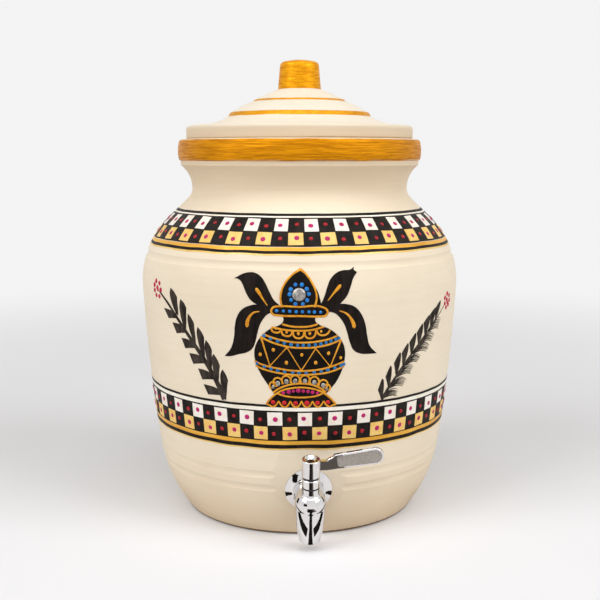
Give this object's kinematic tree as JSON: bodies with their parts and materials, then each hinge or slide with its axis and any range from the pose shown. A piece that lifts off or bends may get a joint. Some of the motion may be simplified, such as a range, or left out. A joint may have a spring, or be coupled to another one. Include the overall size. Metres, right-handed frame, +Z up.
{
  "type": "clay water pot with tap",
  "caption": "Footed round clay water pot with necked shoulder, thrown rim, domed knob lid and a quarter-turn lever tap low on the wall.",
  "frame": {"origin": "middle of the flat foot, on the pot's own axis", "axes": "+Z up along the pot's axis, the tap at the front on -Y, its lever shut towards +X"},
  "size_m": [0.2825, 0.2984, 0.3978],
  "materials": {
    "painted_clay": "cream matt paint over fired clay, with painted bands and a gilded rim",
    "lid_clay": "cream matt paint over fired clay, gilded steps and knob",
    "polished_steel": "mirror polished",
    "plain_steel": "turned",
    "black_rubber": "soft",
    "black_nylon": "smooth",
    "white_lining": "slippery",
    "silicone": "soft, pale"
  },
  "bodies": {
    "pot": {"pot_body": "painted_clay", "tap_body": "polished_steel", "rosette": "polished_steel", "bonnet": "polished_steel", "bonnet_seal": "black_rubber", "glide_washer": "black_nylon", "seat_sleeve": "white_lining", "sleeve_seal": "black_rubber", "thrust_washer": "white_lining", "front_washer": "silicone", "rear_washer": "silicone", "clamp_washer": "plain_steel", "lock_nut": "plain_steel"},
    "lid": {"lid": "lid_clay"},
    "lever": {"lever": "polished_steel", "lever_screw": "plain_steel", "valve_stem": "plain_steel", "stem_o_rings": "black_rubber"}
  },
  "joints": [
    {"name": "lid_lift", "type": "slide", "parent": "pot", "child": "lid", "axis": [0, 0, 1], "range_m": [0, 0.12]},
    {"name": "lever_turn", "type": "hinge", "parent": "pot", "child": "lever", "pos_m": [0, -0.14183, 0.04057], "axis": [0, 0.2079, -0.9781], "range_deg": [0, 90]}
  ]
}
